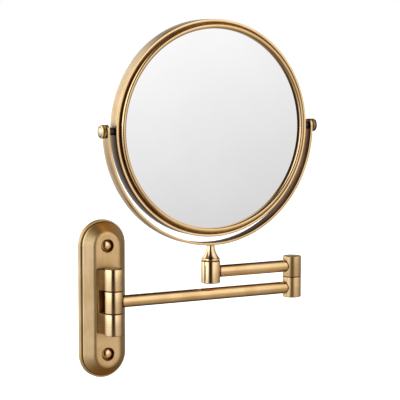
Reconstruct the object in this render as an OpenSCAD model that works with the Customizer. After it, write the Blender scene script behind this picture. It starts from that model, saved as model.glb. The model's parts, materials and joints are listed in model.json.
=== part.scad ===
// Extendable shaving mirror: a two-sided mirror in a yoke, on a double swing arm from a wall plate.
// Frame: the origin is the middle of the wall plate's back face. +Y points into the wall,
// +X runs along the wall to the right and +Z is up. All lengths are millimetres.
// It is drawn folded: the lower arm lies along the wall and the upper arm is folded back over it.

/* [Wall plate] */
// Width of the plate, and the diameter of its round ends
plate_w = 49; // [44:0.5:70]
// Height of the plate
plate_h = 155; // [140:1:220]
// Distance from the wall to the plate's flat front
plate_depth = 15; // [12:0.5:24]
// Thickness of the flange that lies on the wall
flange_t = 4; // [2.5:0.1:5]
// How far the raised body is set in from the flange's edge
flange_step = 2.1; // [1.5:0.1:4]
// Height of the upright side of the body above the flange
body_side = 2.4; // [1:0.1:4]
// Width of the flat front between the two bevels
flat_w = 26; // [22:0.5:36]
// Rounding where the bevel meets the flat front
bevel_r = 6; // [2:0.5:8]
// Thickness of the plate's shell
shell_t = 2; // [1.2:0.1:3]
// Distance between the two wall screw holes
screw_spacing = 106; // [98:1:130]
// Diameter of each wall screw hole
screw_hole_d = 5.2; // [4:0.1:6.5]
// Diameter of the round recess around each wall screw
recess_d = 13.5; // [12.5:0.1:16]
// Depth of the recess
recess_depth = 4.6; // [3.5:0.1:6]
// Diameter of the domed cap in the recess
cap_d = 11.6; // [10:0.1:12.4]

/* [Wall hinge] */
// Distance from the plate's flat front to the hinge axis
hinge_reach = 12.5; // [12:0.5:25]
// Diameter of the hinge barrel
barrel_d = 17.5; // [16:0.5:22]
// Height of each of the barrel's three knuckles
barrel_knuckle_h = 21.4; // [18:0.2:30]
// Diameter of the hinge pin and of the two swivel pins
pin_d = 8; // [6:0.2:9.6]
// Width of the bracket where it sits on the plate
bracket_w = 24; // [20:0.5:30]
// How much shorter than the barrel the bracket's block is at each end
bracket_inset = 1.5; // [0.5:0.1:4]

/* [Arms] */
// Length of the lower arm between its two axes
lower_arm = 202; // [120:1:300]
// Length of the upper arm between its two axes
upper_arm = 95; // [60:1:180]
// Outside diameter of the arm tubes
tube_d = 12; // [10:0.5:14.5]
// Wall thickness of the arm tubes
tube_wall = 1.2; // [0.8:0.1:2]
// Diameter of the two elbow knuckles
elbow_d = 18.5; // [17:0.5:26]
// Height of each elbow knuckle
elbow_knuckle_h = 20.8; // [20:0.2:30]
// How far each tube sits from the middle of its elbow knuckle, away from the joint
tube_offset = 0.4; // [0:0.1:1.5]
// Diameter of the post that carries the mirror
post_d = 19; // [17:0.5:26]
// Height of the post
post_h = 22; // [20:0.5:30]

/* [Neck and yoke] */
// Diameter of the collar at the foot of the neck
collar_d = 18.4; // [16:0.2:26]
// Height of the collar
collar_h = 2.6; // [2:0.1:5]
// Height of the flared neck above the collar
flare_h = 13.1; // [10:0.1:30]
// Diameter of the neck where it meets the yoke
neck_top_d = 7.8; // [7:0.1:12]
// Clear gap between the mirror ring and the yoke
yoke_gap = 6.2; // [5:0.1:12]
// Thickness of the yoke's strip
yoke_t = 2.5; // [2:0.1:4]
// Width of the yoke's strip, front to back
yoke_w = 12.6; // [8:0.2:14]

/* [Mirror] */
// Outside diameter of the mirror ring
ring_d = 213; // [150:1:260]
// Depth of the mirror ring, front to back
ring_depth = 14.5; // [14:0.1:24]
// Thickness of the ring's band
ring_t = 2.5; // [1.5:0.1:4]
// Width of the shadow groove between the band and the bead
groove_w = 1.8; // [1:0.1:3]
// Width of the bezel's bead
bead_w = 4.7; // [4.5:0.1:8]
// Rise of the bead's rounded top
bead_rise = 1.8; // [1:0.1:2]
// Thickness of the flat glass
glass_t = 3; // [2:0.1:4]
// Thickness of the magnifying glass
magnifier_t = 2; // [1.5:0.1:3]
// Depth of the magnifying glass's hollow
magnifier_sag = 3.6; // [1:0.1:3.6]

/* [Pivots] */
// Largest diameter of the thumb knobs
knob_d = 13.2; // [10:0.2:20]
// Length of the thumb knobs
knob_l = 6.2; // [5:0.1:12]
// Diameter of the pivot screws
pivot_d = 4; // [3:0.1:4.8]
// Diameter of the dark spacers beside the ring
spacer_d = 7.5; // [6.5:0.1:9]

/* [Fits] */
// Thickness of the thin friction washers
washer_t = 0.35; // [0.2:0.05:1]
// Running clearance, on the radius in a bore and at a flat face
run_fit = 0.05; // [0.02:0.01:0.1]
// Clearance between curved faces that pass each other
pass_gap = 0.3; // [0.3:0.05:1]

/* [Hidden] */

$fn = 96;
lens_fn = 720;                  // segments of the very large circles in the magnifying glass
ring_fn = 240;
past = 0.5;                     // how far a cutting solid runs past the face it cuts
corner_past = 0.01;             // how far a corner's cut starts outside the corner

// Colours
brass = "#b8945c";
bright_brass = "#cda767";
dark_brass = "#8a6a3c";
steel = "#b4b6b8";
nylon = "#26231f";
silvered = "#dfe5e8";
foam = "#5a5752";

// Wall plate: heights are measured from the wall
plate_r = plate_w / 2;
end_z = plate_h / 2 - plate_r;              // centre of each round end
body_r = plate_r - flange_step;
bevel_start = [body_r, flange_t + body_side];
bevel_end = [flat_w / 2, plate_depth];
flange_edge_r = 1;
body_edge_r = 1.6;
groove_cut = [0.5, 0.6];                    // width and depth of the line at the foot of the body
boss_d = recess_d + 2 * shell_t;
screw_z = screw_spacing / 2;

// Screw caps
cap_rim_t = 1.2;
cap_sink = 0.3;                             // how far the cap's top stays below the flat front
cap_h = recess_depth - cap_sink;
cap_dome = 2;                               // rise of the domed face
cap_skin = 1;
dome_r = arc_r(cap_d / 2, cap_dome);

// Wall hinge
axis_y = -(plate_depth + hinge_reach);
barrel_r = barrel_d / 2;
pin_r = pin_d / 2;
bore_r = pin_r + run_fit;
joint_gap = washer_t + run_fit;             // space between two knuckles
knuckle_pitch = barrel_knuckle_h + joint_gap;
barrel_top = barrel_knuckle_h / 2 + knuckle_pitch;
bracket_z = barrel_top - bracket_inset;
notch_z = barrel_knuckle_h / 2 + joint_gap;
notch_gap = 0.5;                            // space behind the middle knuckle
bracket_land = 1;                           // straight side of the block behind the barrel's axis
washer_inset = 0.6;                         // how far a washer stands back from the knuckle's side
blind_roof = 4;                             // solid metal above a blind bore
plug_d = pin_d + 2;
plug_t = 3;
plug_socket_af = 4;
pin_low = -barrel_top + plug_t;
pin_high = barrel_top - blind_roof;
bracket_screw_d = 5;
bracket_screw_head_d = 9;
bracket_screw_head_t = 2.6;
bracket_screw_l = 6;                        // length inside the bracket
bracket_screw_z = knuckle_pitch;

// Arms: the lower arm's axis is at z = 0
elbow_x = lower_arm;
post_x = lower_arm - upper_arm;
elbow_r = elbow_d / 2;
post_r = post_d / 2;
tube_r = tube_d / 2;
tube_bore_r = tube_r - tube_wall;
elbow_base = tube_offset - elbow_knuckle_h / 2;
elbow_face_z = tube_offset + elbow_knuckle_h / 2;
upper_knuckle_base = elbow_face_z + joint_gap;
upper_knuckle_top = upper_knuckle_base + elbow_knuckle_h;
upper_arm_z = upper_knuckle_base + elbow_knuckle_h / 2 + tube_offset;
post_base = upper_arm_z - post_h / 2;
post_top = upper_arm_z + post_h / 2;
edge_r = 1;                                 // eased edge of the turned knuckles
spigot_pin_r = 3.3;
spigot_wall = 1.2;                          // metal left between a spigot's hole and the pin's bore
spigot_start = bore_r + spigot_wall;
spigot_grip = 14;                           // length of a spigot inside its tube

// Nut pockets under the elbow and the post
pocket_r = 7;
pocket_h = 6.2;
cover_t = 1.2;
nut_af = 10;
nut_t = 3.2;
thread_r = 3;
spring_t = 1;
spring_r = 6;

// Neck and yoke
collar_r = collar_d / 2;
neck_top_r = neck_top_d / 2;
collar_base = post_top + joint_gap;
flare_base = collar_base + collar_h;
neck_top = flare_base + flare_h;
collar_foot_round = collar_h / 4;
collar_head_round = collar_h / 3;
collar_step = 0.4;                          // step between the collar and the flare
flare_foot_r = collar_r - collar_step;
flare_run = flare_foot_r - neck_top_r;
flare_curve_r = arc_r(flare_h, flare_run);
neck_over = 1;                              // extra neck that the strip's seat cuts away
ring_r = ring_d / 2;
yoke_in_r = ring_r + yoke_gap;
yoke_out_r = yoke_in_r + yoke_t;
mirror_z = neck_top + yoke_out_r;
tab_rise = 0.4;                               // straight part of the yoke above the pivot
yoke_screw_r = 2;
yoke_screw_l = 8;                           // length inside the neck
yoke_screw_head_t = 1.7;
strip_under_head = 0.4;                     // least metal under the screw's head
countersink = min(yoke_screw_head_t, yoke_t - strip_under_head);

// Mirror: depths are measured from its middle plane towards the viewer
lip = ring_depth / 2;
band_in_r = ring_r - ring_t;
band_edge_r = 0.6;
bead_out_r = band_in_r - groove_w;
sight_r = bead_out_r - bead_w;              // radius of the glass that shows
glass_lap = 2.5;                            // how far the bezel laps over the glass
glass_r = sight_r + glass_lap;
glass_inset = 0.25;                         // depth of the glass below the ring's edge
glass_face = lip - glass_inset;
trim_t = 1;
groove_depth = 2.5;
trim_base = lip - groove_depth - trim_t;
bead_r = arc_r(bead_w / 2, bead_rise);
bead_proud = 4;                             // how far the bead stands in front of the ring's edge
bead_top = lip + bead_proud;
lens_r = arc_r(glass_r, magnifier_sag);
hollow_face = magnifier_sag - glass_face;   // middle of the magnifying glass's outer face
spacer_w = 3.8;
spacer_in_r = glass_r - spacer_w;
spacer_slack = 0.15;
spacer_base = hollow_face + magnifier_t - arc_rise(lens_r, spacer_in_r) + spacer_slack;

// Pivots
pivot_nut_wall = 1.2;
pivot_nut_w = pivot_d + 2 * pivot_nut_wall;
pivot_nut_reach = sqrt(band_in_r * band_in_r - pivot_nut_w * pivot_nut_w / 4);
tip_gap = 0.9;                              // space between a pivot screw's tip and the glass
pivot_tip = glass_r + tip_gap;
knob_base = yoke_out_r + pass_gap;
knob_taper = 0.9;                           // how much the radius shrinks towards the yoke
knob_neck_r = knob_d / 2 - knob_taper;
knob_dome = 2.2;                            // height of the domed end
knob_land = 1.4;                            // straight band below the dome
knob_step = 0.7;                            // step between the band and the dome
knob_dome_r = arc_r(knob_d / 2, knob_dome);

// Radius of an arc with this half width and rise
function arc_r(half_width, rise) = (half_width * half_width + rise * rise) / (2 * rise);

// Rise of an arc of radius r with this half width
function arc_rise(r, half_width) = r - sqrt(r * r - half_width * half_width);

function unit(v) = v / norm(v);

// A corner moved inwards by a wall thickness, between faces with the inward normals m and n
function inset(p, m, n, wall) = p + wall * (m + n) / (1 + m * n);

// Material to take off a convex corner at p, between unit directions a and b, for a radius of r
module corner(p, a, b, r) {
    half = acos(a * b) / 2;
    middle = (a + b) / norm(a + b);
    centre = p + middle * r / sin(half);
    reach = r / tan(half);
    difference() {
        polygon([p - middle * corner_past, p + a * reach, centre, p + b * reach]);
        translate(centre) circle(r);
    }
}

// Half of the plate's cross-section: distance from the middle against height from the wall
module plate_half() {
    slope = unit(bevel_end - bevel_start);
    difference() {
        polygon([
            [0, 0],
            [plate_r, 0],
            [plate_r, flange_t],
            [body_r + groove_cut[0], flange_t],
            [body_r + groove_cut[0], flange_t - groove_cut[1]],
            [body_r, flange_t - groove_cut[1]],
            bevel_start,
            bevel_end,
            [0, plate_depth]
        ]);
        corner([plate_r, flange_t], [-1, 0], [0, -1], flange_edge_r);
        corner(bevel_start, slope, [0, -1], body_edge_r);
        corner(bevel_end, [-1, 0], -slope, bevel_r);
    }
}

// Half of the hollow behind the plate
module hollow_half() {
    slope = unit(bevel_end - bevel_start);
    normal = [-slope[1], slope[0]];
    polygon([
        [0, -past],
        [body_r - shell_t, -past],
        inset(bevel_start, [-1, 0], normal, shell_t),
        inset(bevel_end, normal, [0, -1], shell_t),
        [0, plate_depth - shell_t]
    ]);
}

// Sweeps a half section round a stadium of the plate's length
module stadium() {
    for (side = [0, 1])
        rotate(side * 180) translate([0, end_z, 0]) rotate_extrude(angle = 180) children();
    for (side = [0, 1])
        rotate(side * 180) translate([0, end_z, 0]) rotate([90, 0, 0])
            linear_extrude(2 * end_z) children();
}

module at_wall_screws() {
    for (z = [-screw_z, screw_z])
        translate([0, z, 0]) children();
}

module at_bracket_screws() {
    for (z = [-bracket_screw_z, bracket_screw_z])
        translate([0, z, 0]) children();
}

// Turns a shape drawn on the wall (height along z) so that its height points out of the wall
module off_wall() {
    rotate([90, 0, 0]) children();
}

module wall_plate() color(brass) off_wall() difference() {
    union() {
        difference() {
            stadium() plate_half();
            stadium() hollow_half();
        }
        at_wall_screws() cylinder(d = boss_d, h = plate_depth - shell_t / 2);
    }
    at_wall_screws() translate([0, 0, -past]) cylinder(d = screw_hole_d, h = plate_depth + 2 * past);
    at_wall_screws() translate([0, 0, plate_depth - recess_depth])
        cylinder(d = recess_d, h = recess_depth + past);
    at_bracket_screws() cylinder(d = bracket_screw_d, h = plate_depth + past);
}

// Domed caps, each with a rim that presses into the recess and room for a screw head inside
module screw_caps() color(bright_brass) off_wall() at_wall_screws()
    translate([0, 0, plate_depth - recess_depth]) rotate_extrude() difference() {
        union() {
            square([recess_d / 2, cap_rim_t]);
            intersection() {
                translate([0, cap_h - dome_r]) circle(dome_r);
                square([cap_d / 2, cap_h]);
            }
        }
        intersection() {
            translate([0, cap_h - dome_r]) circle(dome_r - cap_skin);
            translate([0, -past]) square([cap_d / 2 - cap_skin, cap_h]);
        }
    }

// Plan of the bracket: a block that narrows from the plate to the barrel
module bracket_plan() {
    polygon([
        [-bracket_w / 2, -plate_depth],
        [bracket_w / 2, -plate_depth],
        [barrel_r, axis_y + bracket_land],
        [barrel_r, axis_y],
        [-barrel_r, axis_y],
        [-barrel_r, axis_y + bracket_land]
    ]);
}

module hinge_bracket() color(brass) difference() {
    union() {
        translate([0, 0, -bracket_z]) linear_extrude(2 * bracket_z) bracket_plan();
        translate([0, axis_y, -barrel_top]) cylinder(r = barrel_r, h = 2 * barrel_top);
    }
    // Room for the middle knuckle, open to the front and the sides
    translate([-bracket_w, axis_y - bracket_w, -notch_z])
        cube([2 * bracket_w, bracket_w + barrel_r + notch_gap, 2 * notch_z]);
    translate([0, axis_y, pin_low]) cylinder(r = pin_r, h = pin_high - pin_low);
    translate([0, axis_y, -barrel_top - past]) cylinder(d = plug_d, h = plug_t + past);
    off_wall() at_bracket_screws() cylinder(d = bracket_screw_d, h = plate_depth + bracket_screw_l);
}

// Countersunk screws from the hollow of the plate into the bracket
module bracket_screws() color(steel) off_wall() at_bracket_screws() {
    translate([0, 0, plate_depth - shell_t - bracket_screw_head_t])
        cylinder(d = bracket_screw_head_d, h = bracket_screw_head_t);
    translate([0, 0, plate_depth - shell_t - past])
        cylinder(d = bracket_screw_d, h = shell_t + bracket_screw_l + past);
}

module hinge_pin() color(steel) translate([0, axis_y, pin_low])
    cylinder(r = pin_r, h = pin_high - pin_low);

module hinge_pin_plug() color(dark_brass) translate([0, axis_y, -barrel_top]) difference() {
    cylinder(d = plug_d, h = plug_t);
    translate([0, 0, -past]) cylinder(d = plug_socket_af / cos(30), h = plug_t / 2 + past, $fn = 6);
}

// A thin friction washer, lying on z = 0
module friction_washer(outer_r) {
    difference() {
        cylinder(r = outer_r - washer_inset, h = washer_t);
        translate([0, 0, -past]) cylinder(r = bore_r, h = washer_t + 2 * past);
    }
}

module hinge_washers() color(nylon) for (side = [0, 1])
    mirror([0, 0, side]) translate([0, axis_y, barrel_knuckle_h / 2 + run_fit])
        friction_washer(barrel_r);

// The hole that a spigot's pin enters, in a knuckle whose axis is at x = 0
module spigot_hole(knuckle_r) {
    translate([spigot_start, 0, 0]) rotate([0, 90, 0]) cylinder(r = spigot_pin_r, h = knuckle_r);
}

// A turned plug in a tube's end, with a pin that enters the knuckle at x = 0
module spigot(knuckle_r) {
    plug_start = knuckle_r + pass_gap;
    rotate([0, 90, 0]) {
        translate([0, 0, spigot_start])
            cylinder(r = spigot_pin_r, h = plug_start + spigot_grip - spigot_start);
        translate([0, 0, plug_start]) cylinder(r = tube_bore_r, h = spigot_grip);
    }
}

// A tube between two vertical knuckles, with its ends cut to sit on them
module arm_tube(length, start_r, end_r) {
    difference() {
        rotate([0, 90, 0]) cylinder(r = tube_r, h = length);
        translate([-past, 0, 0]) rotate([0, 90, 0]) cylinder(r = tube_bore_r, h = length + 2 * past);
        translate([0, 0, -tube_d]) cylinder(r = start_r, h = 2 * tube_d);
        translate([length, 0, -tube_d]) cylinder(r = end_r, h = 2 * tube_d);
    }
}

module hinge_knuckle() color(brass) translate([0, axis_y, 0]) difference() {
    translate([0, 0, -barrel_knuckle_h / 2]) cylinder(r = barrel_r, h = barrel_knuckle_h);
    translate([0, 0, -barrel_knuckle_h]) cylinder(r = bore_r, h = 2 * barrel_knuckle_h);
    spigot_hole(barrel_r);
}

module lower_arm_tube() color(brass) translate([0, axis_y, 0])
    arm_tube(lower_arm, barrel_r, elbow_r);

module lower_arm_spigots() color(steel) translate([0, axis_y, 0]) {
    spigot(barrel_r);
    translate([elbow_x, 0, 0]) mirror([1, 0, 0]) spigot(elbow_r);
}

// A pocket for a nut, open at z = 0
module nut_pocket() translate([0, 0, -past]) cylinder(r = pocket_r, h = pocket_h + past);

module pocket_cover() cylinder(r = pocket_r, h = cover_t);

module spring_washer() translate([0, 0, pocket_h - spring_t]) difference() {
    cylinder(r = spring_r, h = spring_t);
    translate([0, 0, -past]) cylinder(r = thread_r, h = spring_t + 2 * past);
}

module lock_nut() translate([0, 0, pocket_h - spring_t - nut_t]) difference() {
    cylinder(d = nut_af / cos(30), h = nut_t, $fn = 6);
    translate([0, 0, -past]) cylinder(r = thread_r, h = nut_t + 2 * past);
}

// A pin with a threaded end that carries the nut. z = 0 is the pocket's mouth
module clamp_pin(top) {
    translate([0, 0, cover_t + run_fit]) cylinder(r = thread_r, h = top - cover_t - run_fit);
    translate([0, 0, pocket_h]) cylinder(r = pin_r, h = top - pocket_h);
}

module elbow_lower_knuckle() color(brass) translate([elbow_x, axis_y, elbow_base]) difference() {
    rotate_extrude() eased_post(elbow_r, elbow_knuckle_h, true, false);
    translate([0, 0, -past]) cylinder(r = bore_r, h = elbow_knuckle_h + 2 * past);
    nut_pocket();
    translate([0, 0, -elbow_base]) rotate(180) spigot_hole(elbow_r);
}

module elbow_cover() color(dark_brass) translate([elbow_x, axis_y, elbow_base]) pocket_cover();

// Half section of a turned post: foot and head say whether that end has an eased edge
module eased_post(r, h, foot, head) {
    difference() {
        square([r, h]);
        if (foot) corner([r, 0], [-1, 0], [0, 1], edge_r);
        if (head) corner([r, h], [-1, 0], [0, -1], edge_r);
    }
}

module elbow_upper_knuckle() color(brass) translate([elbow_x, axis_y, upper_knuckle_base]) difference() {
    rotate_extrude() eased_post(elbow_r, elbow_knuckle_h, false, true);
    translate([0, 0, -past]) cylinder(r = pin_r, h = elbow_knuckle_h - blind_roof + past);
    translate([0, 0, upper_arm_z - upper_knuckle_base]) rotate(180) spigot_hole(elbow_r);
}

module elbow_pin() color(steel) translate([elbow_x, axis_y, elbow_base])
    clamp_pin(upper_knuckle_top - blind_roof - elbow_base);

module elbow_washer() color(nylon) translate([elbow_x, axis_y, elbow_face_z + run_fit])
    friction_washer(elbow_r);

module elbow_spring_washer() color(steel) translate([elbow_x, axis_y, elbow_base - run_fit])
    spring_washer();

module elbow_nut() color(steel) translate([elbow_x, axis_y, elbow_base - run_fit])
    lock_nut();

module upper_arm_tube() color(brass) translate([post_x, axis_y, upper_arm_z])
    arm_tube(upper_arm, post_r, elbow_r);

module upper_arm_spigots() color(steel) translate([post_x, axis_y, upper_arm_z]) {
    spigot(post_r);
    translate([upper_arm, 0, 0]) mirror([1, 0, 0]) spigot(elbow_r);
}

module post_socket() color(bright_brass) translate([post_x, axis_y, post_base]) difference() {
    rotate_extrude() eased_post(post_r, post_h, true, false);
    translate([0, 0, -past]) cylinder(r = bore_r, h = post_h + 2 * past);
    nut_pocket();
    translate([0, 0, post_h / 2]) spigot_hole(post_r);
}

module post_cover() color(dark_brass) translate([post_x, axis_y, post_base]) pocket_cover();

// Turned neck: a rounded collar, a hollow-sided flare, and the spindle that turns in the post
module swivel_neck() color(bright_brass) translate([post_x, axis_y, 0]) difference() {
    union() {
        translate([0, 0, collar_base]) rotate_extrude() difference() {
            square([collar_r, collar_h]);
            corner([collar_r, 0], [-1, 0], [0, 1], collar_foot_round);
            corner([collar_r, collar_h], [-1, 0], [0, -1], collar_head_round);
        }
        translate([0, 0, flare_base]) rotate_extrude() difference() {
            square([flare_foot_r, flare_h + neck_over]);
            translate([neck_top_r + flare_curve_r, flare_h]) circle(flare_curve_r);
        }
        translate([0, 0, post_base]) clamp_pin(collar_base - post_base + past);
    }
    // Seat for the strip, and the thread for its screw
    translate([0, yoke_w, mirror_z]) rotate([90, 0, 0])
        cylinder(r = yoke_out_r, h = 2 * yoke_w, $fn = ring_fn);
    translate([0, 0, neck_top - yoke_screw_l]) cylinder(r = yoke_screw_r, h = yoke_screw_l + yoke_t);
}

module neck_washer() color(nylon) translate([post_x, axis_y, post_top + run_fit])
    friction_washer(collar_r);

module swivel_spring_washer() color(steel) translate([post_x, axis_y, post_base - run_fit])
    spring_washer();

module swivel_nut() color(steel) translate([post_x, axis_y, post_base - run_fit])
    lock_nut();

// Moves a shape drawn round the mirror's middle, with its height towards the viewer, into place
module at_mirror() {
    translate([post_x, axis_y, mirror_z]) rotate([90, 0, 0]) children();
}

// A hole of radius r along the pivot axis, through both sides of the ring and the yoke
module pivot_bore(r) translate([-2 * ring_r, 0, 0]) rotate([0, 90, 0]) cylinder(r = r, h = 4 * ring_r);

// The half ring, with a short upright tab and a rounded end at each pivot
module yoke_band() color(brass) at_mirror() difference() {
    union() {
        rotate(180) rotate_extrude(angle = 180, $fn = ring_fn)
            translate([yoke_in_r, -yoke_w / 2]) square([yoke_t, yoke_w]);
        for (side = [0, 1]) mirror([side, 0, 0]) {
            translate([yoke_in_r, 0, -yoke_w / 2]) cube([yoke_t, tab_rise, yoke_w]);
            translate([yoke_in_r, tab_rise, 0]) rotate([0, 90, 0]) cylinder(d = yoke_w, h = yoke_t);
        }
    }
    pivot_bore(pivot_d / 2 + run_fit);
    translate([0, -yoke_out_r - past, 0]) rotate([-90, 0, 0])
        cylinder(r = yoke_screw_r, h = yoke_t + 2 * past);
    translate([0, -yoke_in_r - countersink, 0]) rotate([-90, 0, 0])
        cylinder(r1 = yoke_screw_r, r2 = yoke_screw_r + 2 * countersink, h = 2 * countersink);
}

module yoke_screw() color(steel) at_mirror() translate([0, -yoke_out_r, 0]) rotate([-90, 0, 0]) {
    translate([0, 0, -yoke_screw_l]) cylinder(r = yoke_screw_r, h = yoke_screw_l + yoke_t - countersink);
    translate([0, 0, yoke_t - countersink])
        cylinder(r1 = yoke_screw_r, r2 = yoke_screw_r + countersink, h = countersink);
}

module mirror_ring() color(brass) at_mirror() difference() {
    rotate_extrude($fn = ring_fn) difference() {
        translate([band_in_r, -lip]) square([ring_t, ring_depth]);
        corner([ring_r, lip], [-1, 0], [0, -1], band_edge_r);
        corner([ring_r, -lip], [-1, 0], [0, 1], band_edge_r);
    }
    pivot_bore(pivot_d / 2);
}

// Trim ring: a flat rim under the groove, a skirt beside the glass and a tall rounded bead
module bezel() {
    rotate_extrude($fn = ring_fn) {
        translate([glass_r + pass_gap, trim_base]) {
            square([band_in_r - glass_r - pass_gap, trim_t]);
            square([bead_out_r - glass_r - pass_gap, bead_top - bead_rise - trim_base]);
        }
        translate([sight_r, glass_face]) square([bead_w, bead_top - bead_rise - glass_face]);
        intersection() {
            translate([sight_r + bead_w / 2, bead_top - bead_r]) circle(bead_r);
            translate([sight_r, bead_top - bead_r]) square([bead_w, bead_r]);
        }
    }
}

module front_bezel() color(bright_brass) at_mirror() bezel();

module rear_bezel() color(bright_brass) at_mirror() mirror([0, 0, 1]) bezel();

module plain_glass() color(silvered) at_mirror() translate([0, 0, glass_face - glass_t])
    cylinder(r = glass_r, h = glass_t, $fn = ring_fn);

// Dished glass whose hollow face looks away from the flat glass
module magnifying_glass() color(silvered) at_mirror() rotate_extrude($fn = ring_fn) difference() {
    intersection() {
        translate([0, hollow_face + magnifier_t - lens_r]) circle(lens_r, $fn = lens_fn);
        translate([0, -lip]) square([glass_r, 2 * lip]);
    }
    translate([0, hollow_face - lens_r]) circle(lens_r, $fn = lens_fn);
}

module glass_spacer() color(foam) at_mirror() translate([0, 0, spacer_base]) difference() {
    cylinder(r = glass_r - pass_gap, h = glass_face - glass_t - spacer_base);
    translate([0, 0, -past]) cylinder(r = spacer_in_r, h = 2 * lip);
}

// Threaded blocks inside the band, one at each pivot
module pivot_nuts() color(steel) at_mirror() for (side = [0, 1]) mirror([side, 0, 0]) difference() {
    translate([glass_r + pass_gap, -pivot_nut_w / 2, -pivot_nut_w / 2])
        cube([pivot_nut_reach - glass_r - pass_gap, pivot_nut_w, pivot_nut_w]);
    translate([glass_r - past, 0, 0]) rotate([0, 90, 0]) cylinder(d = pivot_d, h = 2 * ring_t + yoke_gap);
}

// Thumb knob with its screw, for the pivot on the +X side
module pivot_knob() {
    translate([pivot_tip, 0, 0]) rotate([0, 90, 0]) cylinder(d = pivot_d, h = knob_base - pivot_tip + past);
    translate([knob_base, 0, 0]) rotate([0, 90, 0]) rotate_extrude() {
        polygon([
            [0, 0],
            [knob_neck_r, 0],
            [knob_d / 2, knob_l - knob_dome - knob_land],
            [knob_d / 2, knob_l - knob_dome],
            [0, knob_l - knob_dome]
        ]);
        intersection() {
            translate([0, knob_l - knob_dome_r]) circle(knob_dome_r);
            translate([0, knob_l - knob_dome - past])
                square([knob_d / 2 - knob_step, knob_dome + 2 * past]);
        }
    }
}

module pivot_knob_left() color(bright_brass) at_mirror() mirror([1, 0, 0]) pivot_knob();

module pivot_knob_right() color(bright_brass) at_mirror() pivot_knob();

module pivot_spacers() color(nylon) at_mirror() for (side = [0, 1]) mirror([side, 0, 0])
    translate([ring_r, 0, 0]) rotate([0, 90, 0]) difference() {
        cylinder(d = spacer_d, h = yoke_gap - pass_gap);
        translate([0, 0, -past]) cylinder(d = pivot_d, h = yoke_gap + past);
    }

wall_plate();
screw_caps();
hinge_bracket();
bracket_screws();
hinge_pin();
hinge_pin_plug();
hinge_washers();
hinge_knuckle();
lower_arm_tube();
lower_arm_spigots();
elbow_lower_knuckle();
elbow_cover();
elbow_upper_knuckle();
elbow_pin();
elbow_washer();
elbow_spring_washer();
elbow_nut();
upper_arm_tube();
upper_arm_spigots();
post_socket();
post_cover();
swivel_neck();
neck_washer();
swivel_spring_washer();
swivel_nut();
yoke_band();
yoke_screw();
mirror_ring();
front_bezel();
rear_bezel();
plain_glass();
magnifying_glass();
glass_spacer();
pivot_nuts();
pivot_knob_left();
pivot_knob_right();
pivot_spacers();
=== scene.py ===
import json
import math

import bpy
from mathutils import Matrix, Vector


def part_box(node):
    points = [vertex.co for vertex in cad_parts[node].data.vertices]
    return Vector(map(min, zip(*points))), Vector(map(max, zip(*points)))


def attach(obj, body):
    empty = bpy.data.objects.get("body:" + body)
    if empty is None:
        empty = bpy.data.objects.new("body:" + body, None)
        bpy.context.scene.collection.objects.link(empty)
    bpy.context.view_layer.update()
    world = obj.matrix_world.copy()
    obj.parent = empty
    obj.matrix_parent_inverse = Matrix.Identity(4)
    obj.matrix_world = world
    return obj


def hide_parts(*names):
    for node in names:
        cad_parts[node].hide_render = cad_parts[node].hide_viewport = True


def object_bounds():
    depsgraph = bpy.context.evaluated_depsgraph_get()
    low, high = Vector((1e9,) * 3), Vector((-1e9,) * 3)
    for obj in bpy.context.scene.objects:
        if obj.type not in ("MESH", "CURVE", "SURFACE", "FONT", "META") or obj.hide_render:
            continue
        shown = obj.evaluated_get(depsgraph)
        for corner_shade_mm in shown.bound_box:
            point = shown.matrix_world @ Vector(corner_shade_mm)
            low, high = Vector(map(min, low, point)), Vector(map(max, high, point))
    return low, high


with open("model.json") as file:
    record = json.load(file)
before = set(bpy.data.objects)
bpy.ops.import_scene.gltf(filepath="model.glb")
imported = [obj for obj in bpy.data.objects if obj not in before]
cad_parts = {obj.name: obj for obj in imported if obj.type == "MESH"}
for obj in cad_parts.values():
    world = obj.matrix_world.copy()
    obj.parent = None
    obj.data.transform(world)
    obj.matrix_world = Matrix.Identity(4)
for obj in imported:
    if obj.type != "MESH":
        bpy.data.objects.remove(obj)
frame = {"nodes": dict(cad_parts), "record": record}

cad_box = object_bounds()
nodes = frame["nodes"]
MM = 0.001
QUARTER = math.pi / 2
X, Y, Z = 0, 1, 2
TOWARDS_VIEWER = (QUARTER, 0, 0)      # turns a piece made along +Z so that it points along -Y
TO_THE_WALL = (-QUARTER, 0, 0)        # ... along +Y
TO_THE_RIGHT = (0, QUARTER, 0)        # ... along +X
TO_THE_LEFT = (0, -QUARTER, 0)        # ... along -X
UPRIGHT = (0, 0, 0)
ROUND = 96                            # sides of a small turned piece
RIM_ROUND = 288                       # sides of the mirror's rings
TOUCHING = 1e-6                       # metres within which two points are one
LEVEL = 0.9                           # a face whose normal rises this much is level
SLOPING = 0.2                         # ... and this much, no longer upright
SHARP = math.radians(30)              # an edge past this angle is eased
SMOOTH_UNDER = math.radians(35)       # an edge under this angle is shaded smooth
FLAT_UNDER = math.radians(0.5)        # faces that meet at less than this are one flat face


# ---------------------------------------------------------------- nodes

def feed(tree, node, inputs):
    """Fills inputs, named or in order, with values, sockets or the first outputs of other nodes."""
    for name, value in inputs.items() if isinstance(inputs, dict) else enumerate(inputs):
        if isinstance(value, bpy.types.Node):
            value = value.outputs[0]
        if isinstance(value, bpy.types.NodeSocket):
            tree.links.new(value, node.inputs[name])
        else:
            node.inputs[name].default_value = value


def add_node(tree, kind, settings=None, inputs=()):
    """Adds a node, sets its properties and fills its inputs."""
    node = tree.nodes.new("ShaderNode" + kind)
    for name, value in (settings or {}).items():
        setattr(node, name, value)
    feed(tree, node, inputs)
    return node


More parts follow.
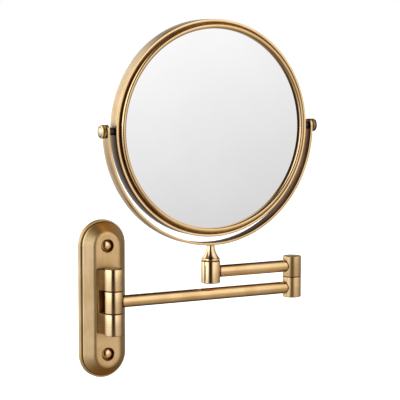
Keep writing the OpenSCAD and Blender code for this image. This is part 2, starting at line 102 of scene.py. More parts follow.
EVENLY = {"interpolation_type": "LINEAR"}
SMOOTHLY = {"interpolation_type": "SMOOTHSTEP"}
ADD = {"operation": "ADD"}
SUBTRACT = {"operation": "SUBTRACT"}
MULTIPLY = {"operation": "MULTIPLY"}
ABSOLUTE = {"operation": "ABSOLUTE"}
SCALE = {"operation": "SCALE"}
LENGTH = {"operation": "LENGTH"}
DOT = {"operation": "DOT_PRODUCT"}


def linear(hex_colour):
    """An sRGB hex colour as linear red, green, blue and alpha."""
    values = [int(hex_colour[i:i + 2], 16) / 255 for i in (1, 3, 5)]
    return [v / 12.92 if v <= 0.04045 else ((v + 0.055) / 1.055) ** 2.4 for v in values] + [1.0]


# ---------------------------------------------------------------- camera and light

SENSOR_MM = 36.0
LENS_MM = 154.0
CAMERA_AT = (-0.71845, -1.48969, 0.26396)
CAMERA_TURN = math.radians(29.09)     # from +Y towards +X
CAMERA_DIP = math.radians(5.80)       # below the horizontal


def add_camera():
    camera = bpy.data.cameras.new("camera")
    camera.lens = LENS_MM
    camera.sensor_width = SENSOR_MM
    holder = bpy.data.objects.new("camera", camera)
    holder.location = CAMERA_AT
    holder.rotation_euler = (QUARTER - CAMERA_DIP, 0, -CAMERA_TURN)
    bpy.context.scene.collection.objects.link(holder)
    bpy.context.scene.camera = holder


# Each light of the studio fades along a direction: the cosines where the fade starts and ends, and the
# strengths there. "Behind" is how it fades from the front of the room to the wall that the mirror hangs on.
BOXES_FROM_FLOOR = (-1.1, -0.1, 0.0, 0.6)
BOXES_AT_EYE_LEVEL = (-0.18, 0.06, 0.0, 0.4)
BOXES_OVERHEAD = (0.72, 0.97, 1.0, 0.1)
RIGHT_EDGE = (0.17, 0.62, 0.0, 1.4)
RIGHT_FAR_SIDE = (0.78, 0.98, 1.0, 0.72)
RIGHT_BEHIND = (-0.9, 0.3, 0.12, 1.0)
RIGHT_COLOUR = (1.0, 0.985, 0.965)
LEFT_EDGE = (-0.2, -0.62, 0.0, 2.1)
LEFT_BEHIND = (-0.75, 0.15, 0.42, 1.0)
LEFT_COLOUR = (0.96, 1.04, 1.15)
WALL_AT = math.radians(168)           # from -Y towards +X
WALL_EDGE = (0.74, 0.98, 0.0, 0.5)
WALL_COLOUR = (1.0, 0.98, 0.95)
GLOW_FROM_FLOOR = (0.0, -0.9, 0.03, 0.24)
GLOW_BEHIND = (-0.75, 0.0, 0.15, 1.0)
GLOW_COLOUR = (1.0, 0.76, 0.46)
SUN_STRENGTH = 3.4
SUN_SPREAD = math.radians(50)
SUN_TURN = (math.radians(-20), math.radians(15), 0)
FLOOR_SIZE = 60                       # metres
FLOOR_DROP = 0.34                     # metres below the object


def add_studio():
    """Two soft boxes with a dark gap between them, a dim wall behind and a warm glow from the floor.
    They light and reflect in the object, and behind it there is plain white."""
    world = bpy.data.worlds.new("studio")
    bpy.context.scene.world = world
    world.use_nodes = True
    tree = world.node_tree
    tree.nodes.clear()
    direction = add_node(tree, "TexCoord").outputs["Generated"]
    to_the_side = (math.cos(CAMERA_TURN), -math.sin(CAMERA_TURN), 0)
    to_the_front = (-math.sin(CAMERA_TURN), -math.cos(CAMERA_TURN), 0)
    to_the_wall = (math.sin(WALL_AT), -math.cos(WALL_AT), 0)
    side, front, height, wall = (
        add_node(tree, "VectorMath", DOT, (direction, axis)).outputs["Value"]
        for axis in (to_the_side, to_the_front, (0, 0, 1), to_the_wall))

    up = add_node(tree, "Math", ADD, (
        add_node(tree, "MapRange", EVENLY, (height, *BOXES_FROM_FLOOR)),
        add_node(tree, "MapRange", SMOOTHLY, (height, *BOXES_AT_EYE_LEVEL))))
    overhead = add_node(tree, "MapRange", SMOOTHLY, (height, *BOXES_OVERHEAD))
    up = add_node(tree, "Math", MULTIPLY, (up, overhead))
    lights = []
    for colour, strength, fades in (
            (RIGHT_COLOUR, up, ((side, RIGHT_EDGE), (side, RIGHT_FAR_SIDE), (front, RIGHT_BEHIND))),
            (LEFT_COLOUR, up, ((side, LEFT_EDGE), (front, LEFT_BEHIND))),
            (WALL_COLOUR, 1.0, ((wall, WALL_EDGE),)),
            (GLOW_COLOUR, 1.0, ((height, GLOW_FROM_FLOOR), (front, GLOW_BEHIND)))):
        for along, fade in fades:
            faded = add_node(tree, "MapRange", SMOOTHLY, (along, *fade))
            strength = add_node(tree, "Math", MULTIPLY, (strength, faded))
        lights.append(add_node(tree, "VectorMath", SCALE, {0: colour, "Scale": strength}))
    total = lights[0]
    for light in lights[1:]:
        total = add_node(tree, "VectorMath", ADD, (total, light))
    studio = add_node(tree, "Background", None, {"Color": total, "Strength": 1.0})
    pale = add_node(tree, "Background", None, {"Color": (1, 1, 1, 1), "Strength": 1.0})
    seen = add_node(tree, "LightPath").outputs["Is Camera Ray"]
    mix = add_node(tree, "MixShader", None, (seen, studio, pale))
    add_node(tree, "OutputWorld", None, {"Surface": mix})

    sun = bpy.data.lights.new("overhead", "SUN")
    sun.energy = SUN_STRENGTH
    sun.angle = SUN_SPREAD
    holder = bpy.data.objects.new("overhead", sun)
    holder.rotation_euler = SUN_TURN
    holder.visible_glossy = False
    bpy.context.scene.collection.objects.link(holder)

    bpy.ops.mesh.primitive_plane_add(size=FLOOR_SIZE, location=(0, 0, cad_box[0][2] - FLOOR_DROP))
    floor = bpy.context.object
    floor.name = "floor"
    floor.visible_glossy = False
    # Matt white paint on a flat board: pale and even, with no shine.
    floor.data.materials.append(plain("matt_white_floor", "#f4f4f2", "#f3f3f1", 0.9, 0.02, 0.0, 40, 0))
    bpy.context.scene.view_settings.view_transform = "Standard"


# ---------------------------------------------------------------- materials

# Where one tone gives way to another: the values where that starts and ends, and the shares there.
GRAIN_FADE = (0.35, 0.65, 0.0, 1.0)
BRASS_FADE = (0.36, 0.64, 0.0, 1.0)
LEVEL_SHADE_FADE = (0.25, 0.75, 0.0, 1.0)    # from upright faces to level ones, which get painted shade
CORNER_SHADE_FADE = (0.42, 0.92, 0.95, 0.0)  # painted shade and patina, from shut-in spots to open ones
GLOSS_FADE = (0.3, 0.7)
CORNER_SAMPLES = 8


def new_material(name, metallic):
    material = bpy.data.materials.new(name)
    material.use_nodes = True
    tree = material.node_tree
    shader = tree.nodes["Principled BSDF"]
    feed(tree, shader, {"Metallic": metallic})
    return material, tree, shader, add_node(tree, "TexCoord")


def plain(name, colour, shade, roughness, spread, metallic, grain_mm, bump_mm):
    """A finish of two near tones in grains of one size, with its gloss and its surface following them."""
    material, tree, shader, place = new_material(name, metallic)
    grain = add_node(tree, "TexNoise", None, {
        "Vector": place.outputs["Object"], "Scale": 1 / (grain_mm * MM), "Detail": 3.0})
    share = add_node(tree, "MapRange", SMOOTHLY, (grain, *GRAIN_FADE))
    gloss = add_node(tree, "MapRange", SMOOTHLY, (grain, *GLOSS_FADE, roughness + spread, roughness - spread))
    tone = add_node(tree, "MixRGB", None, (share, linear(shade), linear(colour)))
    feed(tree, shader, {"Base Color": tone, "Roughness": gloss})
    if bump_mm:
        bump = add_node(tree, "Bump", None, {"Height": grain, "Distance": bump_mm * MM, "Strength": 1.0})
        feed(tree, shader, {"Normal": bump})
    return material


LINE_STRETCH = 40      # how many times longer than wide a brushed line is


def straight_grain(tree, place, axis):
    """Coordinates, in millimetres, that hardly change along one axis, for lines brushed that way."""
    scale = [1 / MM] * 3
    scale[axis] /= LINE_STRETCH
    return add_node(tree, "Mapping", None, {"Vector": place, "Scale": scale})


def turned_grain(tree, place, axis, centre):
    """Coordinates, in millimetres, of radius and height round an axis, for lines left by a lathe."""
    moved = add_node(tree, "VectorMath", SUBTRACT, (place, centre))
    flat = [1 / MM] * 3
    flat[axis] = 0
    across = add_node(tree, "VectorMath", MULTIPLY, (moved, flat))
    radius = add_node(tree, "VectorMath", LENGTH, (across,)).outputs["Value"]
    parts = add_node(tree, "SeparateXYZ", None, (moved,)).outputs
    height = add_node(tree, "Math", MULTIPLY, (parts[axis], 1 / MM))
    return add_node(tree, "CombineXYZ", None, (radius, height))


GRAIN_MM = 0.45        # spacing of the brushed lines, coarser than the real 0.1 mm so that they show
LINE_DEPTH_MM = 0.0025
CLOUD_MM = 25          # size of the soft changes of tone
CORNER_SHADE_MM = 2.0        # how far the painted shade and patina reach out of corners
LINE_SHARE = 0.35      # how much of the tone follows the lines, the rest following the clouds
GLOSS_SPREAD = 0.04
JOINT_SHADE = (0.5, 1.8, 0.96, 0.0)    # the painted shade's fade, from 0.5 to 1.8 mm outside a knuckle


def antique_brass(name, colour, worn, patina_and_shade, roughness, grain_of, ends=None, corner_shade_mm=CORNER_SHADE_MM, joints=()):
    """Lacquered antique brass: a warm base, fine lines of the tool, and brown in the corners, partly patina
    and partly painted shade.
    """
    material, tree, shader, coordinates = new_material(name, 1.0)
    place = coordinates.outputs["Object"]
    lines = add_node(tree, "TexNoise", None, {
        "Vector": grain_of(tree, place), "Scale": 1 / GRAIN_MM, "Detail": 2.0})
    cloud = add_node(tree, "TexNoise", None, {"Vector": place, "Scale": 1 / (CLOUD_MM * MM), "Detail": 3.0})
    tone = add_node(tree, "Math", ADD, (
        add_node(tree, "Math", MULTIPLY, (lines, LINE_SHARE)),
        add_node(tree, "Math", MULTIPLY, (cloud, 1 - LINE_SHARE))))
    share = add_node(tree, "MapRange", SMOOTHLY, (tone, *BRASS_FADE))
    face = add_node(tree, "MixRGB", None, (share, linear(worn), linear(colour)))
    # Painted shade: faces turned up or down take a deeper brown, for the light that they miss.
    if ends:
        slope = add_node(tree, "VectorMath", DOT, (coordinates.outputs["Normal"], (0, 0, 1)))
        slope = add_node(tree, "Math", ABSOLUTE, (slope.outputs["Value"],))
        share = add_node(tree, "MapRange", SMOOTHLY, (slope, *LEVEL_SHADE_FADE))
        face = add_node(tree, "MixRGB", None, (share, face, linear(ends)))
    # Painted shade with patina: brown where the ambient occlusion finds nearby surfaces shutting out light.
    corner_shade = add_node(tree, "AmbientOcclusion", {"samples": CORNER_SAMPLES}, {"Distance": corner_shade_mm * MM})
    share = add_node(tree, "MapRange", SMOOTHLY, (corner_shade.outputs["AO"], *CORNER_SHADE_FADE))
    aged_and_shaded = add_node(tree, "MixRGB", None, (share, face, linear(patina_and_shade)))
    # Painted shade on a tube beside each knuckle that it meets, where the knuckle shades it.
    start, end, *shares = JOINT_SHADE
    for node, radius in joints:
        off_axis = add_node(tree, "SeparateXYZ", None, (turned_grain(tree, place, Z, centre_of(node)),))
        share = add_node(tree, "MapRange", SMOOTHLY, (off_axis, radius + start, radius + end, *shares))
        aged_and_shaded = add_node(tree, "MixRGB", None, (share, aged_and_shaded, linear(patina_and_shade)))
    gloss = add_node(tree, "MapRange", SMOOTHLY, (
        lines, *GLOSS_FADE, roughness + GLOSS_SPREAD, roughness - GLOSS_SPREAD))
    bump = add_node(tree, "Bump", None, {"Height": lines, "Distance": LINE_DEPTH_MM * MM, "Strength": 1.0})
    feed(tree, shader, {"Base Color": aged_and_shaded, "Roughness": gloss, "Normal": bump})
    return material


# ---------------------------------------------------------------- shaping

def darken(piece, wanted, look="recess"):
    """Gives the brown of recesses and painted shade, or another finish, to the faces whose centre and normal
    suit.
    """
    piece.data.materials.append(materials[look])
    for face in piece.data.polygons:
        if wanted(face.center, face.normal):
            face.material_index = len(piece.data.materials) - 1


def centre_of(node):
    low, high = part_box(node)
    return (low + high) / 2


def off_axis_of(spot, axis, middle):
    """The distance of a spot from the line through the middle along an axis."""
    return math.hypot(*(spot[i] - middle[i] for i in (X, Y, Z) if i != axis))


def deselect():
    bpy.ops.object.select_all(action="DESELECT")


def pick_faces(piece, wanted):
    """Selects, in edit mode, the faces whose centre and normal suit."""
    bpy.ops.object.mode_set(mode="OBJECT")
    for group in (piece.data.vertices, piece.data.edges):
        for item in group:
            item.select = False
    for face in piece.data.polygons:
        face.select = wanted(face.center, face.normal)
    bpy.ops.object.mode_set(mode="EDIT")
    bpy.ops.mesh.select_mode(type="FACE")


def turned(name, steps, sides=ROUND, ring=False):
    """A lathe shape along +Z: a circle at the first (height, radius) in mm, drawn through the others.
    A ring's steps come back to the first. A last radius of 0 closes in a point."""
    deselect()
    height, radius = steps[0]
    bpy.ops.mesh.primitive_circle_add(vertices=sides, radius=radius * MM,
                                      fill_type="NOTHING" if ring else "NGON", location=(0, 0, height * MM))
    piece = bpy.context.object
    piece.name = name
    bpy.ops.object.transform_apply(location=True)
    bpy.ops.object.mode_set(mode="EDIT")
    bpy.ops.mesh.select_all(action="SELECT")
    for (z0, r0), (z1, r1) in zip(steps, steps[1:]):
        bpy.ops.mesh.extrude_region_move(TRANSFORM_OT_translate={"value": (0, 0, (z1 - z0) * MM)})
        if r1 == 0:
            bpy.ops.mesh.merge(type="CENTER")
        else:
            bpy.ops.transform.resize(value=(r1 / r0, r1 / r0, 1), center_override=(0, 0, 0))
    bpy.ops.mesh.select_all(action="SELECT")
    bpy.ops.mesh.remove_doubles(threshold=TOUCHING)
    bpy.ops.mesh.normals_make_consistent(inside=False)
    bpy.ops.object.mode_set(mode="OBJECT")
    return piece


def arc(centre, radius, start, end, count):
    """Steps (height, radius) along an arc, with its angles in degrees from the +Z direction."""
    angles = [math.radians(start + (end - start) * i / count) for i in range(count + 1)]
    return [(centre[0] + radius * math.cos(a), centre[1] + radius * math.sin(a)) for a in angles]


def dome(radius, foot, top, count):
    """Steps over a dome, from its edge, just above the foot, to its point."""
    rise = top - foot
    curve_r = (radius ** 2 + rise ** 2) / (2 * rise)
    lean = math.degrees(math.asin(radius / curve_r))
    return arc((top - curve_r, 0), curve_r, lean, 0, count)[:-1] + [(top, 0)]


def oval(centre, rise, half, count):
    """Steps (height, radius) over the top of a bead, from its inner side to its outer side."""
    angles = [math.pi * i / count for i in range(count + 1)]
    return [(centre[0] + rise * math.sin(a), centre[1] - half * math.cos(a)) for a in angles]


def ease(piece, width, segments=3, finish=-1):
    """Rounds every sharp edge. A finish is the material slot that the rounding gets."""
    bevel = piece.modifiers.new("eased edge", "BEVEL")
    bevel.width = width * MM
    bevel.segments = segments
    bevel.limit_method = "ANGLE"
    bevel.angle_limit = SHARP
    bevel.material = finish
    bevel.use_clamp_overlap = finish < 0
    bpy.context.view_layer.objects.active = piece
    bpy.ops.object.modifier_apply(modifier=bevel.name)


def settle(piece, turn, at):
    """Turns the piece, moves it to its place, and puts both in its mesh."""
    deselect()
    piece.select_set(True)
    bpy.context.view_layer.objects.active = piece
    piece.rotation_euler = turn
    piece.location = at
    bpy.ops.object.transform_apply(location=True, rotation=True, scale=True)
    bpy.ops.object.shade_smooth_by_angle(angle=SMOOTH_UNDER)


def softened(node, width, finish):
    """A copy of a CAD piece with its doubled points merged and its sharp edges rounded and given painted
    shade.
    """
    deselect()
    piece = bpy.data.objects.new(node + "_eased", nodes[node].data.copy())
    bpy.context.scene.collection.objects.link(piece)
    piece.select_set(True)
    bpy.context.view_layer.objects.active = piece
    bpy.ops.mesh.customdata_custom_splitnormals_clear()
    bpy.ops.object.mode_set(mode="EDIT")
    bpy.ops.mesh.select_all(action="SELECT")
    bpy.ops.mesh.remove_doubles(threshold=TOUCHING)
    bpy.ops.mesh.dissolve_limited(angle_limit=FLAT_UNDER)
    bpy.ops.object.mode_set(mode="OBJECT")
    piece.data.materials.clear()
    piece.data.materials.append(finish)
    # The roundings get the brown of painted shade.
    piece.data.materials.append(materials["recess"])
    ease(piece, width, finish=1)
    bpy.ops.object.shade_smooth_by_angle(angle=SMOOTH_UNDER)
    return piece


def hand_over(piece, body, slot, material, *replaced):
    """Gives a piece its material, if it has none yet, and its body, and hides the CAD pieces it stands for.
    The slot is not used.
    """
    if material:
        piece.data.materials.clear()
        piece.data.materials.append(material)
    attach(piece, body)
    if replaced:
        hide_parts(*replaced)


# ---------------------------------------------------------------- pieces, their sizes in mm

NEAR = 0.1             # mm within which a face counts as lying on a surface
JUST = 0.01
BAND_T = 2.5
BAND_EASE = 0.5
GROOVE_W = 1.8
GROOVE_DEPTH = 0.8
BEAD_W = 4.7
BEAD_RISE = 2.3
BEAD_STEPS = 14
GLASS_LAP = 2.5        # how far the bead laps over the glass
SKIRT_GAP = 0.3        # from the glass's edge to the skirt round it
RIM_T = 1.0


def make_rings():
    """The band, and on each face of it a trim ring: a tall rounded bead beside a groove painted dark as
    shade.
    """
    low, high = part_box("mirror_ring")
    middle = centre_of("mirror_ring")
    ring_r = (high.x - low.x) / 2 / MM
    lip = (high.y - low.y) / 2 / MM
    band_in = ring_r - BAND_T
    steps = [(-lip, band_in), (-lip, ring_r), (lip, ring_r), (lip, band_in), (-lip, band_in)]
    band = turned("mirror_band", steps, RIM_ROUND, ring=True)
    ease(band, BAND_EASE)
    settle(band, TOWARDS_VIEWER, middle)
    hand_over(band, "mirror", "brushed_brass", materials["ring"], "mirror_ring")
    # Painted shade on the band's inner face, the outer wall of the groove.
    darken(band, lambda c, n: off_axis_of(c, Y, middle) < (band_in + NEAR) * MM)
    # The band's outer side takes a finish whose wide occlusion paints the strip's shade on it.
    darken(band, lambda c, n: off_axis_of(c, Y, middle) > (ring_r - NEAR) * MM, "ring_side")

    bead_out = band_in - GROOVE_W
    sight = bead_out - BEAD_W
    glass_face = (middle.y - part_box("plain_glass")[0].y) / MM
    crest = (middle.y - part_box("front_bezel")[0].y) / MM
    rim_top = lip - GROOVE_DEPTH
    rim_under = rim_top - RIM_T
    skirt_in = sight + GLASS_LAP + SKIRT_GAP
    half = BEAD_W / 2
    profile = [(rim_under, skirt_in), (glass_face, skirt_in), (glass_face, sight)]
    profile += oval((crest - BEAD_RISE, sight + half), BEAD_RISE, half, BEAD_STEPS)
    profile += [(lip, bead_out), (rim_top, bead_out), (rim_top, band_in), (rim_under, band_in)]
    profile += [(rim_under, skirt_in)]
    for name, turn, node in (("front_bead", TOWARDS_VIEWER, "front_bezel"),
                             ("rear_bead", TO_THE_WALL, "rear_bezel")):
        piece = turned(name, profile, RIM_ROUND, ring=True)
        settle(piece, turn, middle)
        hand_over(piece, "mirror", "polished_brass", materials["bead"], node)
        # Painted shade on the groove's floor and its inner wall.
        darken(piece, lambda c, n: off_axis_of(c, Y, middle) > (bead_out - JUST) * MM
               and abs(c.y - middle.y) < (lip - NEAR) * MM)


GLASS_SAG = 3.6
GLASS_T = 2.0
GLASS_BANDS = 14
GLASS_MIDDLE_R = 1     # radius of the flat spot that the disc starts from


def make_dished_glass():
    """A concave disc, drawn from a small circle at its middle to its edge and back along its underside."""
    low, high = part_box("magnifying_glass")
    glass_r = (high.x - low.x) / 2 / MM
    middle = centre_of("mirror_ring")
    edge_face = (high.y - middle.y) / MM
    curve_r = (glass_r ** 2 + GLASS_SAG ** 2) / (2 * GLASS_SAG)
    radii = [GLASS_MIDDLE_R] + [glass_r * i / GLASS_BANDS for i in range(1, GLASS_BANDS + 1)]
    outer = [(edge_face - GLASS_SAG + curve_r - math.sqrt(curve_r ** 2 - r ** 2), r) for r in radii]
    inner = [(z - GLASS_T, r) for z, r in reversed(outer)]
    piece = turned("dished_glass", outer + inner, RIM_ROUND)
    settle(piece, TO_THE_WALL, middle)
    hand_over(piece, "mirror", "mirror_glass", materials["mirror_glass"], "magnifying_glass")


KNOB_L = 6.2
SHANK_L = 12
SHANK_R = 2
# The knob's side: height above its foot, and depth inside its widest radius.
KNOB_SIDE = ((0, 1.6), (0.5, 0.6), (0.8, 0.1), (2.9, 0.1), (3.1, 0.5), (3.2, 1.3), (3.6, 1.3), (3.6, 0.6),
             (3.8, 0.2), (4.2, 0), (4.6, 0.2), (4.9, 0.8))
# The groove round the button: height above the knob's foot, and distance outside the button.
BUTTON_GROOVE = ((5.0, 0.3), (4.3, 0.1), (4.3, 0))
BUTTON_INSET = 1.7     # from the knob's widest radius to the button's
BUTTON_H = 1.5
BUTTON_STEPS = 8
KNURLS = 40
KNURL_DEPTH = 0.35
GRIP = (0.8, 3.1)      # heights between which the knob is knurled
# Heights of the grooves beside the grip and round the button, which get painted shade.
GRIP_GROOVE_SHADE = (3.0, 3.65)
BUTTON_GROOVE_SHADE = (4.2, 4.95)
BUTTON_RING = 0.35     # width of the painted shade round the button


def make_knobs():
    """Thumb knobs: a knurled grip, a groove and a domed end."""
    centre = centre_of("mirror_ring")
    for name, node, turn in (("knob_left", "pivot_knob_left", TO_THE_LEFT),
                             ("knob_right", "pivot_knob_right", TO_THE_RIGHT)):
        low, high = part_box(node)
        middle = (low + high) / 2
        out = max(abs(low.x - centre.x), abs(high.x - centre.x)) / MM
        knob_r = (high.y - low.y) / 2 / MM
        base = out - KNOB_L
        button_r = knob_r - BUTTON_INSET
        steps = [(base - SHANK_L, SHANK_R), (base, SHANK_R)]
        steps += [(base + up, knob_r - inset) for up, inset in KNOB_SIDE]
        steps += [(base + up, button_r + outset) for up, outset in BUTTON_GROOVE]
        piece = turned(name, steps + dome(button_r, out - BUTTON_H, out, BUTTON_STEPS), KNURLS * 2)
        crimp(piece, base + GRIP[0], base + GRIP[1], 1 - KNURL_DEPTH / knob_r)
        settle(piece, turn, (centre.x, middle.y, middle.z))
        hand_over(piece, "mirror", "polished_brass", materials["knob"], node)

        def between(spot, heights):
            return (base + heights[0]) * MM < abs(spot.x - centre.x) < (base + heights[1]) * MM

        darken(piece, lambda c, n: abs(c.x - centre.x) < (base + GRIP[1]) * MM, "knurl")
        # Painted shade in the groove above the grip and round the button.
        darken(piece, lambda c, n: between(c, GRIP_GROOVE_SHADE) or (
            between(c, BUTTON_GROOVE_SHADE) and off_axis_of(c, X, middle) < (button_r + BUTTON_RING) * MM))


def crimp(piece, low, high, share):
    """Draws in every second line of points between two heights, as a knurling wheel does."""
    step = math.pi / KNURLS
    for vertex in piece.data.vertices:
        line = round(math.atan2(vertex.co.y, vertex.co.x) / step)
        vertex.select = low * MM < vertex.co.z < high * MM and line % 2 == 1
    for group in (piece.data.edges, piece.data.polygons):
        for item in group:
            item.select = False
    bpy.ops.object.mode_set(mode="EDIT")
    bpy.ops.mesh.select_mode(type="VERT")
    bpy.ops.transform.resize(value=(share, share, 1), center_override=(0, 0, 0))
    bpy.ops.object.mode_set(mode="OBJECT")


SPACER_EASE = 0.5
SPACER_LAP = 0.5       # how far a sleeve reaches into the band


def make_spacers():
    """A plain sleeve on each side, between the band and the yoke."""
    low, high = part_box("pivot_spacers")
    middle = centre_of("mirror_ring")
    radius = (high.z - low.z) / 2 / MM
    inner = (middle.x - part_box("mirror_ring")[0].x) / MM
    outer = (middle.x - low.x) / MM
    for name, turn in (("spacer_left", TO_THE_LEFT), ("spacer_right", TO_THE_RIGHT)):
        piece = turned(name, [(inner - SPACER_LAP, radius), (outer, radius)])
        ease(piece, SPACER_EASE)
        settle(piece, turn, middle)
        hand_over(piece, "mirror", "black_nylon", materials["black_nylon"], "pivot_spacers")


STRIP_T = 2.5
STRIP_EASE = 0.45
STRIP_STEPS = 180
STRIP_INSIDE = 0.2     # mm outside the strip's inner surface within which its faces get painted shade
END_ANGLES = [math.radians(a) for a in range(0, 86, 8)]     # round each end of the strip


def make_yoke():
    """A strip spun through half a turn, with each end raised and rounded over."""
    low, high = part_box("yoke_band")
    middle = centre_of("mirror_ring")
    out_r = (high.x - low.x) / 2
    width = high.y - low.y
    deselect()
    bpy.ops.mesh.primitive_plane_add(size=1, location=(-out_r + STRIP_T * MM / 2, 0, 0))
    piece = bpy.context.object
    piece.name = "yoke_strip"
    piece.scale = (STRIP_T * MM, width, 1)
    bpy.ops.object.transform_apply(location=True, scale=True)
    bpy.ops.object.mode_set(mode="EDIT")
    bpy.ops.mesh.select_all(action="SELECT")
    bpy.ops.mesh.spin(steps=STRIP_STEPS, angle=math.pi, center=(0, 0, 0), axis=(0, 1, 0))
    bpy.ops.mesh.select_all(action="SELECT")
    bpy.ops.mesh.remove_doubles(threshold=TOUCHING)
    bpy.ops.mesh.normals_make_consistent(inside=False)
    straight_part = high.z - middle.z - width / 2
    ends = [(straight_part + width / 2 * math.sin(a), math.cos(a)) for a in END_ANGLES]
    for side in (-1, 1):
        pick_faces(piece, lambda c, n: n.z > LEVEL and abs(c.z) < TOUCHING and c.x * side > 0)
        z0, w0 = 0, 1
        for z1, w1 in ends:
            bpy.ops.mesh.extrude_region_move(TRANSFORM_OT_translate={"value": (0, 0, z1 - z0)})
            bpy.ops.transform.resize(value=(1, w1 / w0, 1), center_override=(0, 0, 0))
            z0, w0 = z1, w1
    bpy.ops.object.mode_set(mode="OBJECT")
    ease(piece, STRIP_EASE)
    settle(piece, UPRIGHT, middle)
    hand_over(piece, "yoke", "brushed_brass", materials["yoke"], "yoke_band")
    inside_r = out_r - (STRIP_T - STRIP_INSIDE) * MM
    # Painted shade on the strip's inner faces, which face the band.
    darken(piece, lambda c, n: math.hypot(c.x - middle.x, min(c.z - middle.z, 0)) < inside_r)


SPINDLE_R = 4
SPINDLE_L = 3
COLLAR_H = 2.6
# The collar's lower and upper edges: height above its foot or its top, and depth inside its radius.
COLLAR_FOOT = ((0, 0.7), (0.25, 0.2), (0.8, 0))
COLLAR_TOP = ((-0.9, 0), (-0.4, 0.25), (-0.2, 0.8), (0, 0.8))
FLARE_INSET = 0.5      # from the collar's radius to the flare's foot
FLARE_STEPS = 16
NECK_TOP_R = 3.9


def make_neck():
    """A rounded collar with a fine groove above it, and a hollow-sided flare up to the yoke."""
    low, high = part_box("swivel_neck")
    middle = centre_of("swivel_neck")
    collar_r = (high.x - low.x) / 2 / MM
    top = high.z / MM
    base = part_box("neck_washer")[1].z / MM
    foot = base + COLLAR_H
    flare_r = collar_r - FLARE_INSET
    curve_r = ((flare_r - NECK_TOP_R) ** 2 + (top - foot) ** 2) / (2 * (flare_r - NECK_TOP_R))
    lean = math.degrees(math.asin((top - foot) / curve_r))
    steps = [(base - SPINDLE_L, SPINDLE_R), (base, SPINDLE_R)]
    steps += [(base + up, collar_r - inset) for up, inset in COLLAR_FOOT]
    steps += [(foot + up, collar_r - inset) for up, inset in COLLAR_TOP]
    flare = arc((0, 0), curve_r, 90 + lean, 90, FLARE_STEPS)
    steps += [(top + z, NECK_TOP_R + curve_r - r) for z, r in flare]
    piece = turned("neck_flare", steps)
    settle(piece, UPRIGHT, (middle.x, middle.y, 0))
    hand_over(piece, "yoke", "polished_brass", materials["post"], "swivel_neck")


CAP_RIM_T = 1.2
CAP_R = 5.8
CAP_FOOT = 0.3         # how far the rim's step stands out of the dome
CAP_STEPS = 14


def make_caps():
    """Domed covers over the two wall screws, each on a thin flat rim."""
    low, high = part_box("screw_caps")
    recess = -high.y / MM
    top = -low.y / MM
    rim_r = (high.x - low.x) / 2 / MM
    dome_foot = recess + CAP_RIM_T
    steps = [(recess, rim_r), (dome_foot, rim_r), (dome_foot, CAP_R + CAP_FOOT)]
    steps += dome(CAP_R, dome_foot, top, CAP_STEPS)
    for name, z in (("screw_cap_low", low.z + rim_r * MM), ("screw_cap_high", high.z - rim_r * MM)):
        piece = turned(name, steps)
        settle(piece, TOWARDS_VIEWER, (0, 0, z))
        hand_over(piece, "wall_mount", "polished_brass", materials["cap"], "screw_caps")


BARREL_R = 8.75
ELBOW_R = 9.25
POST_R = 9.5
BARREL_EASE = 0.5
KNUCKLE_EASE = 0.3
HINGE_JOINTS = (-10.85, 10.85)        # heights of the lines between the knuckles
ELBOW_JOINTS = (11,)
JOINT_REACH = 1.2                     # how far the painted shade of a line between knuckles reaches
BRACKET_STEP = 0.2                    # mm outside the barrel where the block's painted shade starts


def make_knuckles():
    """The bracket and the knuckles with eased edges, with painted shade where they meet."""
    for name, body, slot, look, width in (
            ("hinge_bracket", "wall_mount", "brushed_brass", "barrel", BARREL_EASE),
            ("hinge_knuckle", "lower_arm", "brushed_brass", "barrel", BARREL_EASE),
            ("elbow_lower_knuckle", "lower_arm", "brushed_brass", "elbow", KNUCKLE_EASE),
            ("elbow_upper_knuckle", "upper_arm", "brushed_brass", "elbow", KNUCKLE_EASE),
            ("post_socket", "upper_arm", "polished_brass", "post", KNUCKLE_EASE)):
        piece = softened(name, width, materials[look])
        hand_over(piece, body, slot, None, name)
        if name == "hinge_bracket":
            barrel = centre_of("hinge_pin")
            # Painted shade on the block behind the barrel and on the level ends.
            darken(piece, lambda c, n: off_axis_of(c, Z, barrel) > (BARREL_R + BRACKET_STEP) * MM
                   or abs(n.z) > LEVEL, "block")
        if name != "post_socket":
            joints = HINGE_JOINTS if "hinge" in name else ELBOW_JOINTS
            # Painted shade on the faces beside each line between knuckles.
            darken(piece, lambda c, n: abs(n.z) > SLOPING and any(
                abs(c.z - z * MM) < JOINT_REACH * MM for z in joints))


# ---------------------------------------------------------------- finishes

def straight(axis):
    return lambda tree, place: straight_grain(tree, place, axis)


def lathe(axis, node):
    return lambda tree, place: turned_grain(tree, place, axis, centre_of(node))


BRASS = ("#e4c292", "#d2ae7a", "#4a2b10")      # face, worn streaks, patina and painted shade
# A lighter copy of the same brass for the buffed parts: painted highlight that brightens their bands of
# light.
BRASS_PAINTED_BRIGHTER = ("#f0d2a4", "#e6c290", "#4a2b10")


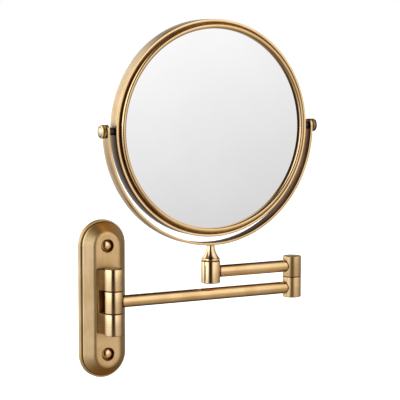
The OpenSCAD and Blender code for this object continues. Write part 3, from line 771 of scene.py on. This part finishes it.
def make_materials():
    return {
        # Pressed brass sheet, brushed upright and browned: a broad satin sheen, with painted shade deepening
        # its level edges.
        "plate": antique_brass("antique_brass_brushed_upright", *BRASS, 0.42, straight(Z), "#c8964e"),
        # The bracket's block and the level ends of its barrel, painted dark brown as the shade they sit in,
        # with a low warm shine.
        "block": antique_brass("antique_brass_browned_block", "#8d6530", "#5e4020", "#1c1008", 0.3,
                               straight(Z), corner_shade_mm=9),
        # Drawn and polished brass tube: one sharp light along it, with painted shade where it meets the
        # knuckles.
        "long_tube": antique_brass("antique_brass_long_tube", *BRASS, 0.19, straight(X),
                                   joints=(("hinge_pin", BARREL_R), ("elbow_pin", ELBOW_R))),
        # The same tube, with painted shade at the elbow and at the post.
        "short_tube": antique_brass("antique_brass_short_tube", *BRASS, 0.19, straight(X),
                                    joints=(("elbow_pin", ELBOW_R), ("post_socket", POST_R))),
        # Brass bar, turned and buffed: clear upright bands of light, with fine rings round it.
        "barrel": antique_brass("antique_brass_turned_barrel", *BRASS_PAINTED_BRIGHTER, 0.12, lathe(Z, "hinge_pin")),
        # Brass bar, turned and left satin: soft, wide bands.
        "elbow": antique_brass("antique_brass_turned_elbow", *BRASS, 0.33, lathe(Z, "elbow_pin")),
        # Brass bar, turned and buffed as the barrel is.
        "post": antique_brass("antique_brass_turned_post", *BRASS_PAINTED_BRIGHTER, 0.11, lathe(Z, "post_socket")),
        # The band's faced edges, buffed: a bright thin line round the mirror.
        "ring": antique_brass("antique_brass_turned_band", *BRASS_PAINTED_BRIGHTER, 0.15, lathe(Y, "mirror_ring")),
        # The band's broad side, satin: deeper in tone where the strip shades it.
        "ring_side": antique_brass("antique_brass_turned_side", *BRASS, 0.22, lathe(Y, "mirror_ring"),
                                   corner_shade_mm=14),
        # Spun and polished trim: light runs along the round of the bead.
        "bead": antique_brass("antique_brass_turned_bead", *BRASS, 0.2, lathe(Y, "mirror_ring")),
        # Brass strip, rolled to a hoop and brushed round it: a long, slightly streaked sheen.
        "yoke": antique_brass("antique_brass_rolled_strip", *BRASS, 0.2, lathe(Y, "mirror_ring")),
        # Turned and buffed thumb knob: a small bright button.
        "knob": antique_brass("antique_brass_turned_knob", *BRASS_PAINTED_BRIGHTER, 0.17, lathe(X, "pivot_knob_left")),
        # Brass that no cloth reaches when it is relieved, dull and brown: patina, and painted shade in
        # grooves, on roundings and on shaded faces.
        "recess": antique_brass("antique_brass_relieved_and_painted_shade", "#8a6238", "#6a4826", "#38200f", 0.42,
                                straight(Z), corner_shade_mm=1.0),
        # Knurled brass, a darker grey-gold with brown between its ridges, partly patina and partly painted
        # shade: a ring of fine lines.
        "knurl": antique_brass("antique_brass_knurled_grip", "#a58b5c", "#7d6438", "#20120a", 0.26,
                               straight(X)),
        # Spun and buffed brass cap: a bright round spot.
        "cap": antique_brass("antique_brass_spun_cap", *BRASS_PAINTED_BRIGHTER, 0.12, straight(Z)),
        # Zinc plate on steel screws, nuts and washers: cool grey with a soft shine.
        "zinc_steel": plain("zinc_plated_steel", "#c2c4c6", "#a4a6a8", 0.3, 0.06, 1.0, 0.8, 0.01),
        # Nylon, moulded in a lightly sparked tool: near black with a waxy sheen.
        "black_nylon": plain("moulded_black_nylon", "#221f1c", "#161412", 0.36, 0.05, 0.0, 0.6, 0.01),
        # Float glass with silver behind it, taken as one metal surface: a clean and slightly cool mirror.
        "mirror_glass": plain("silvered_mirror_glass", "#e4e6ea", "#e2e4e8", 0.012, 0.004, 1.0, 60, 0),
        # Foam tape with small open cells: matt grey.
        "foam_tape": plain("grey_foam_tape", "#66625c", "#4a4742", 0.9, 0.05, 0.0, 0.7, 0.08),
    }


CAD_LOOKS = {
    "wall_plate": "plate", "lower_arm_tube": "long_tube", "upper_arm_tube": "short_tube",
    "elbow_cover": "elbow", "post_cover": "post", "hinge_pin_plug": "barrel",
}
SLOT_LOOKS = {"brushed_brass": "plate", "polished_brass": "post"}


def dress_cad_pieces():
    """Gives each CAD piece its own finish, or else its slot's."""
    for part in frame["record"]["subparts"]:
        name, slot = part["node"], part["material_slot"]
        look = CAD_LOOKS.get(name) or SLOT_LOOKS.get(slot) or slot
        nodes[name].data.materials.clear()
        nodes[name].data.materials.append(materials[look])


# ---------------------------------------------------------------- assembly

add_camera()
add_studio()
materials = make_materials()
dress_cad_pieces()
make_rings()
make_dished_glass()
make_knobs()
make_spacers()
make_yoke()
make_neck()
make_caps()
make_knuckles()
